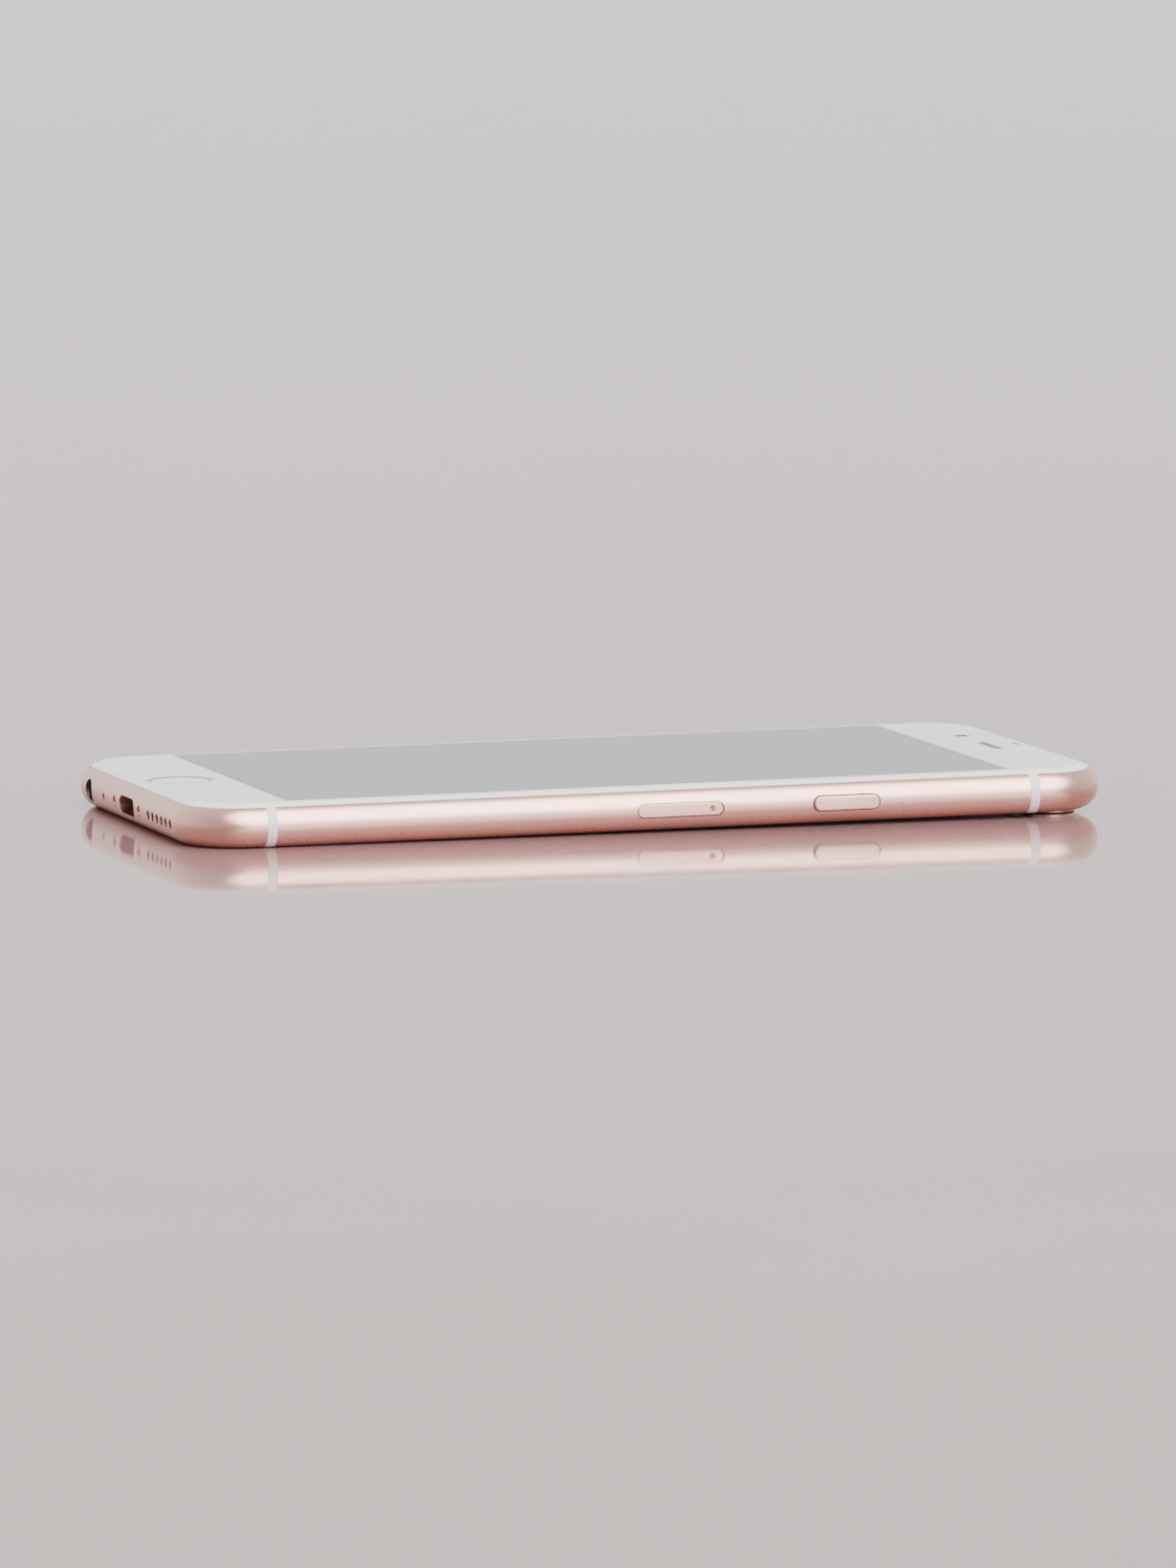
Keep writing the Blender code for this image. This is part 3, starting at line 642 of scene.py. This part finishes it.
def build_front():
    """The cover glass: its white border with the openings, the black line round the screen, the screen."""
    profile = [(GLASS_INSET, GLASS_UNDER)] + skin_arc(GLASS_STARTS, 90.0, steps=9)
    border = Shape().skin(body_rings(profile)).build("glass_border")
    screen = (SCREEN_X / 2 + MASK, SCREEN_Y / 2 + MASK, SCREEN_CORNER)
    opening = Shape().stack("Z", (0, 0), [size + PLAY for size in screen], THROUGH_GLASS, steps=4)
    boolean(border, opening.build("opening"), "DIFFERENCE")
    flared = [(GLASS_UNDER - PAST_WALL, 0.0), (FRONT_Z - 0.15, 0.0)]
    flared += [(FRONT_Z - 0.04, -0.04), (FRONT_Z + 0.3, -0.38)]
    home = Shape().stack("Z", CHIN.xy, (HOME_HOLE_R,) * 3, flared, steps=24)
    boolean(border, home.build("opening"), "DIFFERENCE")
    slot = Shape().stack("Z", EARPIECE.xy, EARPIECE_HALF, flared, steps=10)
    boolean(border, slot.build("opening"), "DIFFERENCE")
    camera_hole = front_window("camera_window", FRONT_CAMERA, (WINDOW_R,) * 3, lens_coating)
    boolean(border, camera_hole, "DIFFERENCE")
    boolean(border, front_window("sensor_window", SENSOR, SENSOR_HALF, None), "DIFFERENCE")
    dress(polish(border), PHONE, "front_glass", ["cover_glass"])

    low, high = GLASS_UNDER + 0.05, FRONT_Z
    ring = [(low, 0.0), (high, 0.0), (high, MASK), (low, MASK)]
    mask = Shape().stack("Z", (0, 0), screen, ring, closed=True, steps=4).build("screen_mask")
    dress(mask, PHONE, "display_stack", ["cover_glass"], mask_black)
    play = 0.01
    lit = (SCREEN_X / 2 - play, SCREEN_Y / 2 - play, 0.0)
    area = Shape().stack("Z", (0, 0), lit, [(low, 0.0), (high, 0.0)], steps=1)
    dress(area.build("screen_area"), PHONE, "display_stack", ["cover_glass"])


def build_home_button():
    """The cap, a shallow dish in glass, and the metal ring that stands round it."""
    low = box("home_button_cap")[0].z
    rim = FRONT_Z - 0.17
    dish = [(0.0, 4.6), (-0.015, 4.35), (-0.06, 3.6), (-0.1, 2.6), (-0.13, 1.5), (-0.14, 0.5)]
    profile = [(low, HOME_CAP_R), (rim - 0.09, HOME_CAP_R), (rim - 0.025, HOME_CAP_R - 0.06)]
    profile += [(rim + drop, radius) for drop, radius in dish]
    cap = Shape().turn("Z", CHIN.xy, profile, steps=24).build("home_cap", 40.0)
    dress(cap, "home_button", "home_glass", ["home_button_cap"])

    low = box("home_button_ring")[0].z
    inner, outer = HOME_RING
    profile = [(low, outer), (FRONT_Z - 0.08, outer), (FRONT_Z - 0.02, 5.47), (FRONT_Z, 5.39)]
    profile += [(FRONT_Z - 0.02, 5.31), (FRONT_Z - 0.17, 4.99), (FRONT_Z - 0.22, inner), (low, inner)]
    ring = Shape().turn("Z", CHIN.xy, profile, closed=True, steps=24).build("home_ring")
    dress(ring, PHONE, "rose_metal", ["home_button_ring"])


def weave(name, axis, centre, half, level, pitch, wire):
    """Crossed wires that fill a rounded slot, in two layers at a level along the axis, in a thin frame.

    The wire is given by its radius.
    """
    overlap = 0.7  # the layers' distance from the level, in wire radii: under 1, so that the wires touch
    frame_out = 0.1
    frame_in = 0.15
    shape = Shape()
    half_u, half_v, corner = half
    for across in (False, True):
        reach, limit = (half_v, half_u) if across else (half_u, half_v)
        count = int(limit / pitch)
        for number in range(-count, count + 1):
            aside = number * pitch
            into = max(abs(aside) - (limit - corner), 0.0)
            length = reach - corner + math.sqrt(max(corner ** 2 - into ** 2, 0.0))
            height = level + (wire if across else -wire) * overlap
            u_axis, v_axis, along = ACROSS[axis]
            place = [0.0, 0.0, 0.0]
            place[u_axis], place[v_axis], place[along] = centre[0], centre[1], height
            run = v_axis if across else u_axis
            place[u_axis if across else v_axis] += aside
            letter = "XYZ"[run]
            first, second, _ = ACROSS[letter]
            ends = [(place[run] - length, wire), (place[run] + length, wire)]
            shape.turn(letter, (place[first], place[second]), ends, steps=2)
    low, high = level - 2 * wire, level + 2 * wire
    ring = [(low, 0.0), (high, 0.0), (high, frame_in), (low, frame_in)]
    shape.stack(axis, centre, [size + frame_out for size in half], ring, closed=True)
    return shape.build(name)


def build_earpiece():
    level = box("earpiece_mesh")[1].z - 0.15
    grid = weave("earpiece_weave", "Z", EARPIECE.xy, GRID_HALF, level, pitch=0.28, wire=0.06)
    dress(grid, PHONE, "steel_mesh", ["earpiece_mesh"])


# ---------------------------------------------------------------- keys and tray in the sides

def build_push_key(node, side, body):
    """A key's rounded cap, the flange behind the wall, and the nub that presses the switch."""
    y, half_y = key_place(node)
    face = HALF_X + KEY_PROUD
    cap = (half_y, KEY_HALF_Z, KEY_HALF_Z)
    flange = (half_y + FLANGE, KEY_HALF_Z + 0.55, 0.6)
    flange_back = BEHIND_WALL - 0.5
    nub = (1.6, 0.7, 0.3)
    steps = [
        (nub, BEHIND_WALL - 0.9),
        (nub, flange_back),
        (flange, flange_back),
        (flange, BEHIND_WALL),
        (cap, BEHIND_WALL),
    ]
    steps += [([size - inset for size in cap], offset) for offset, inset in fillet(face, 0.32)]
    if side < 0:
        steps = [(half, -offset) for half, offset in reversed(steps)]
    rings = [section("X", (y, KEY_Z), half, offset, 10) for half, offset in steps]
    key = Shape().skin(rings).build(f"{node}_cap", CRISP)
    dress(key, body, "rose_metal", [node])


def build_mute_switch():
    """The slider with the shutter behind its slot. The orange mark shows once it is slid to the back."""
    z = middle("mute_slider").z
    face = HALF_X + KEY_PROUD
    cap = (2.9, 0.65, 0.3)
    shutter = (3.8, 1.85, 0.3)
    steps = [(shutter, BEHIND_WALL - 0.5), (shutter, BEHIND_WALL), (cap, BEHIND_WALL)]
    steps += [([size - inset for size in cap], offset) for offset, inset in fillet(face, 0.2)]
    rings = [section("X", (MUTE_Y, z), half, -offset, 8) for half, offset in reversed(steps)]
    slider = Shape().skin(rings).build("mute_slider_cap", CRISP)
    dress(slider, "mute_switch", "rose_metal", ["mute_slider"])
    paint = 0.05
    half_y = 2.85
    low = (-BEHIND_WALL - paint, MUTE_Y - half_y, z + 0.75)
    high = (-BEHIND_WALL + paint, MUTE_Y + half_y, z + 1.8)
    dress(Shape().block(low, high, 0.02).build("mute_mark"), "mute_switch", material=alert_orange)


# The drawer, from its face inwards: the face, a neck that carries the seal, and the bed for the card.
NECK_X = box("sim_tray")[1].x - 0.95
BED_X = NECK_X - 0.9
CARD = box("sim_card")


def build_tray():
    """The drawer's metal, with a pocket and a window for the card and a hole for the ejector pin."""
    low, high = box("sim_tray")
    bed = (6.5, 0.45, 0.2)
    neck = (7.0, 0.75, 0.7)
    steps = [(bed, low.x), (bed, BED_X), (neck, BED_X), (neck, NECK_X), (TRAY_HALF, NECK_X)]
    steps += [([size - inset for size in TRAY_HALF], offset) for offset, inset in fillet(high.x, 0.14)]
    rings = [section("X", (TRAY_Y, KEY_Z), half, offset, 10) for half, offset in steps]
    tray = Shape().skin(rings).build("tray", CRISP)

    card_low, card_high = CARD
    room = 0.12
    lip = 1.0
    corner = 0.8
    pocket = Shape().block(
        (card_low.x - room, card_low.y - room, card_low.z - 0.1),
        (card_high.x + room, card_high.y + room, card_high.z + 2.0), corner,
    )
    window = Shape().block(
        (card_low.x + lip, card_low.y + lip, card_low.z - 2.0),
        (card_high.x - lip, card_high.y - lip, card_low.z + 0.2), corner,
    )
    bore = [(BED_X + 0.3, 0.42), (high.x - 0.08, 0.42), (high.x + 0.4, 0.9)]
    pin = Shape().turn("X", (TRAY_Y + 5.4, KEY_Z), bore, steps=8)
    for cutter in (pocket, window, pin):
        boolean(tray, cutter.build("cutter"), "DIFFERENCE", CRISP)
    dress(tray, "sim_drawer", "rose_metal", ["sim_tray"])


def build_card():
    """The card, with three round corners and one cut off, and the contacts under it."""
    low, high = CARD
    cut = 1.6
    soft = 0.5
    bend = 0.15
    outline = [
        (low.x, low.y + soft),
        (low.x + bend, low.y + bend),
        (low.x + soft, low.y),
        (high.x - cut, low.y),
        (high.x, low.y + cut),
        (high.x, high.y - soft),
        (high.x - bend, high.y - bend),
        (high.x - soft, high.y),
        (low.x + soft, high.y),
        (low.x + bend, high.y - bend),
        (low.x, high.y - soft),
    ]
    rings = [[(x, y, z) for x, y in outline] for z in (low.z, high.z)]
    dress(Shape().skin(rings).build("card"), "sim_drawer", "white_film", ["sim_card"])

    pads = Shape()
    half_x, half_y = 1.3, 0.95
    for row in (-1, 0, 1):
        for column in (-1, 0, 1):
            x = (low.x + high.x) / 2 + 3.0 * column
            y = (low.y + high.y) / 2 + 2.2 * row
            corner = (x - half_x, y - half_y, low.z - 0.03)
            pads.block(corner, (x + half_x, y + half_y, low.z + 0.02), 0.3)
    dress(pads.build("card_contacts"), "sim_drawer", material=contact_gold)


def build_tray_seal():
    """A rubber band with a raised bead, stretched round the neck."""
    low, high = BED_X + 0.15, NECK_X - 0.15
    thick = 0.28
    ring = [(low, 0.1), ((low + high) / 2, 0.0), (high, 0.1), (high, thick), (low, thick)]
    seal = Shape().stack("X", (TRAY_Y, KEY_Z), (7.35, 1.15, 1.1), ring, closed=True, steps=8)
    dress(seal.build("tray_seal", 60.0), "sim_drawer", "seal_rubber", ["sim_tray_seal"])


# ---------------------------------------------------------------- bottom end

def build_port_contacts():
    """Eight gold contacts on each face of the port's tongue."""
    front = box("charge_port_tongue")[0].y
    pitch = 0.78
    half_x = 0.19
    low_z, high_z = 0.33, 0.39  # from the middle of the tongue
    contacts = Shape()
    for number in range(8):
        x = (number - 3.5) * pitch
        for under, over in ((PORT_Z + low_z, PORT_Z + high_z), (PORT_Z - high_z, PORT_Z - low_z)):
            contacts.block((x - half_x, front + 0.25, under), (x + half_x, front + 4.4, over), 0.05)
    dress(contacts.build("port_contacts"), PHONE, material=contact_gold)


def build_jack_liner():
    """The dark sleeve inside the headphone jack's hole, its mouth softened."""
    radius = JACK_R - 0.02
    thick = 0.25
    lip = -HALF_Y + 0.5
    start = lip + 0.04
    back = -HALF_Y + WALL + 0.1
    ring = [(lip, 0.03), (start, 0.0), (back, 0.0), (back, thick), (start, thick), (lip, 0.2)]
    liner = Shape().stack("Y", (PORT_Z, JACK_X), (radius,) * 3, ring, closed=True, steps=16)
    dress(liner.build("jack_liner"), PHONE, "black_plastic")


def build_bottom_weaves():
    """The woven screens behind the loudspeaker's holes and in front of the microphone."""
    low, high = box("speaker_mesh")
    centre = ((low.z + high.z) / 2, (low.x + high.x) / 2)
    edge = 0.1
    half = ((high.z - low.z) / 2 - edge, (high.x - low.x) / 2 - edge, edge)
    level = (low.y + high.y) / 2
    grid = weave("speaker_weave", "Y", centre, half, level, pitch=0.24, wire=0.05)
    dress(grid, PHONE, "steel_mesh", ["speaker_mesh"])

    level = (-HALF_Y + WALL + box("bottom_microphone")[0].y) / 2
    screen = weave("mic_weave", "Y", (PORT_Z, MIC_X), (0.8,) * 3, level, pitch=0.18, wire=0.035)
    dress(screen, PHONE, "steel_mesh")


def build_end_screws():
    """The two screws beside the port, each with a six-pointed recess."""
    head_r = 0.85
    shank_r = 0.55
    head_depth = 0.7
    valley, tip = 0.3, 0.48
    for label, side in (("left", -1), ("right", 1)):
        node = f"bottom_screw_{label}"
        low, high = box(node)
        x = side * SCREW_X
        neck = low.y + head_depth
        profile = [(low.y, 0.68), (low.y + 0.05, 0.8), (low.y + 0.14, head_r), (neck, head_r)]
        profile += [(neck, shank_r), (high.y, shank_r)]
        screw = Shape().turn("Y", (PORT_Z, x), profile, steps=8).build(f"end_screw_{label}")
        rings = []
        for y in (low.y - 0.5, low.y + 0.4):
            corners = [(math.radians(30 * i), valley if i % 2 else tip) for i in range(12)]
            rings.append([(x + r * math.sin(a), y, PORT_Z + r * math.cos(a)) for a, r in corners])
        boolean(screw, Shape().skin(rings).build("recess"), "DIFFERENCE")
        dress(screw, PHONE, "screw_metal", [node])


# ---------------------------------------------------------------- rear camera group

def build_lens_ring():
    """The ring round the camera, its lowest point the phone's, with a flange against the back."""
    top = box("camera_ring")[1].z
    flange = BACK_Z - 0.1
    inner, sleeve, outer = 3.2, 3.75, 4.6
    profile = [(top, sleeve), (top, inner), (0.14, inner), (0.06, 3.22), (0.01, 3.28), (0.0, 3.36)]
    profile += [(0.0, 4.3), (0.02, 4.42), (0.07, 4.52), (0.15, 4.58), (0.26, outer)]
    profile += [(flange, outer), (flange, sleeve)]
    ring = Shape().turn("Z", CAMERA.xy, profile, closed=True, steps=20).build("lens_ring")
    dress(ring, PHONE, "rose_metal", ["camera_ring"])


def build_lens():
    """The black pane in the ring, with a clear eye where the coated front lens shows."""
    low, high = (corner.z for corner in box("camera_lens_cover"))
    pane_r = 3.1
    eye = 1.5
    dome_r = 1.48
    profile = [(low, pane_r), (high, pane_r), (high, eye), (low + 0.12, eye), (low, eye + 0.2)]
    pane = Shape().turn("Z", CAMERA.xy, profile, closed=True, steps=20).build("lens_pane")
    dress(pane, PHONE, "lens_glass", ["camera_lens_cover"], mask_black)
    profile = [(low + 0.06, 0.15), (low + 0.075, 0.5), (low + 0.12, 0.9), (low + 0.2, 1.25)]
    profile += [(low + 0.28, dome_r), (high, dome_r)]
    dome = Shape().turn("Z", CAMERA.xy, profile, steps=16).build("lens_dome", 45.0)
    dress(dome, PHONE, "lens_glass", ["camera_lens_cover"], lens_coating)


def build_flash():
    """The flash's lens, ridged in rings."""
    low, high = (corner.z for corner in box("flash_lens"))
    ridges = 7
    pitch = 1.75 / ridges
    rim = 2.1
    profile = [(low + 0.03, 0.06)]
    for number in range(ridges):
        inner = 0.1 + number * pitch
        profile += [(low + 0.08, inner + 0.1 * pitch), (low + 0.02, inner + pitch)]
    profile += [(low, 1.95), (low + 0.02, 2.05), (low + 0.07, rim), (high, rim)]
    lens = Shape().turn("Z", FLASH.xy, profile, steps=16).build("flash_dome", 50.0)
    dress(lens, PHONE, "flash_diffuser", ["flash_lens"])


build_case()
build_front()
build_home_button()
build_earpiece()
build_push_key("side_key", 1, "side_button")
build_push_key("volume_up_key", -1, "volume_up_button")
build_push_key("volume_down_key", -1, "volume_down_button")
build_mute_switch()
build_tray()
build_card()
build_tray_seal()
build_port_contacts()
build_jack_liner()
build_bottom_weaves()
build_end_screws()
build_lens_ring()
build_lens()
build_flash()

# The CAD nodes that stay shown keep their shapes and take the procedural material of their slot.
for part in frame["record"]["subparts"]:
    node = frame["nodes"][part["node"]]
    node.data.materials.clear()
    node.data.materials.append(surfaces[part["material_slot"]].material)


# ---------------------------------------------------------------- stage, lights and camera

TABLE_R = 3000.0
TABLE_THICK = 20.0
TABLE_DARK = (0.27, 0.155, 0.155)
TABLE_LIGHT = (0.29, 0.168, 0.168)


def build_floor():
    """A glossy pale table top. The phone rests on its camera ring and on the low end of its flat back."""
    ring_y = box("camera_ring")[1].y
    back_y = -HALF_Y + EDGE_REACH
    slope = -BACK_Z / (ring_y - back_y)
    ring = [(x, y, (y - ring_y) * slope) for x, y in rounded(TABLE_R, TABLE_R, TABLE_R, 24)]
    under = [(x, y, z - TABLE_THICK) for x, y, z in ring]
    floor = Shape().skin([under, ring]).build("table_top")
    made = Surface("table_lacquer", IOR=1.5)
    clouds = made.noise(90.0, 4.0)
    made.link(made.tint(clouds, TABLE_DARK, TABLE_LIGHT, 0.3, 0.7), "Base Color")
    made.link(made.span(made.noise(7.0, 5.0), 0.3, 0.7, 0.04, 0.08), "Roughness")
    made.bump(made.noise(60.0, 2.0), 0.02, 0.4)
    floor.data.materials.append(made.material)


def out_from(azimuth, elevation):
    """The direction out from the phone: azimuth 0 is -Y and 90 is +X, elevation is up from level."""
    turn, rise = math.radians(azimuth), math.radians(elevation)
    return Vector((math.sin(turn) * math.cos(rise), -math.cos(turn) * math.cos(rise), math.sin(rise)))


def aim(obj, azimuth, elevation, distance):
    """Places a camera at this distance, in metres, from the phone's middle, looking at it."""
    out = out_from(azimuth, elevation)
    obj.location = Vector((0.0, 0.0, (BACK_Z + FRONT_Z) / 2 * METRES)) + out * distance
    obj.rotation_mode = "QUATERNION"
    obj.rotation_quaternion = (-out).to_track_quat("-Z", "Y")


ROOM_COLOUR = (1.0, 0.99, 0.985, 1.0)
FAR_WALL = 1.5  # brightness of the room on the phone's left, which its screen mirrors in the main view
NEAR_WALL = 0.65  # and of the room on its right
WALLS_AT = 0.8  # how far to the side, as the X of a direction, they reach these
WINDOW = out_from(104, 38)  # towards the middle of a wide soft window
WINDOW_LIGHT = 8.0  # what it adds there
WINDOW_RIM, WINDOW_CORE = 0.72, 0.97  # cosines of the angles from its middle where it ends and is full


def build_world():
    """A pale room, brighter on the left, with one wide soft window on the right."""
    world = bpy.data.worlds.new("studio")
    bpy.context.scene.world = world
    world.use_nodes = True
    tree = world.node_tree
    background = tree.nodes["Background"]
    background.inputs["Color"].default_value = ROOM_COLOUR
    direction = tree.nodes.new("ShaderNodeTexCoord").outputs["Generated"]

    def fade(value, low, high, start, end, curve):
        node = tree.nodes.new("ShaderNodeMapRange")
        node.interpolation_type = curve
        for socket, number in zip(("From Min", "From Max", "To Min", "To Max"), (low, high, start, end)):
            node.inputs[socket].default_value = number
        tree.links.new(value, node.inputs["Value"])
        return node.outputs["Result"]

    parts = tree.nodes.new("ShaderNodeSeparateXYZ")
    tree.links.new(direction, parts.inputs["Vector"])
    room = fade(parts.outputs["X"], -WALLS_AT, WALLS_AT, FAR_WALL, NEAR_WALL, "LINEAR")
    towards = tree.nodes.new("ShaderNodeVectorMath")
    towards.operation = "DOT_PRODUCT"
    towards.inputs[1].default_value = WINDOW
    tree.links.new(direction, towards.inputs[0])
    window = fade(towards.outputs["Value"], WINDOW_RIM, WINDOW_CORE, 0.0, WINDOW_LIGHT, "SMOOTHSTEP")
    total = tree.nodes.new("ShaderNodeMath")
    tree.links.new(room, total.inputs[0])
    tree.links.new(window, total.inputs[1])
    tree.links.new(total.outputs["Value"], background.inputs["Strength"])


CAMERA_AZIMUTH = 73.1
CAMERA_ELEVATION = 6.6
CAMERA_DISTANCE = 2.306
CAMERA_ROLL = -0.5  # degrees


def build_camera():
    """A long lens that holds the whole phone, from a low angle across its right side."""
    data = bpy.data.cameras.new("camera")
    data.sensor_width = 36.0
    data.lens = 320.0
    data.clip_start = 0.05
    data.clip_end = 50.0
    camera = bpy.data.objects.new("camera", data)
    aim(camera, CAMERA_AZIMUTH, CAMERA_ELEVATION, CAMERA_DISTANCE)
    camera.rotation_quaternion @= Quaternion((0.0, 0.0, 1.0), math.radians(CAMERA_ROLL))
    bpy.context.scene.collection.objects.link(camera)
    bpy.context.scene.camera = camera


build_floor()
build_world()
build_camera()

bpy.context.view_layer.update()
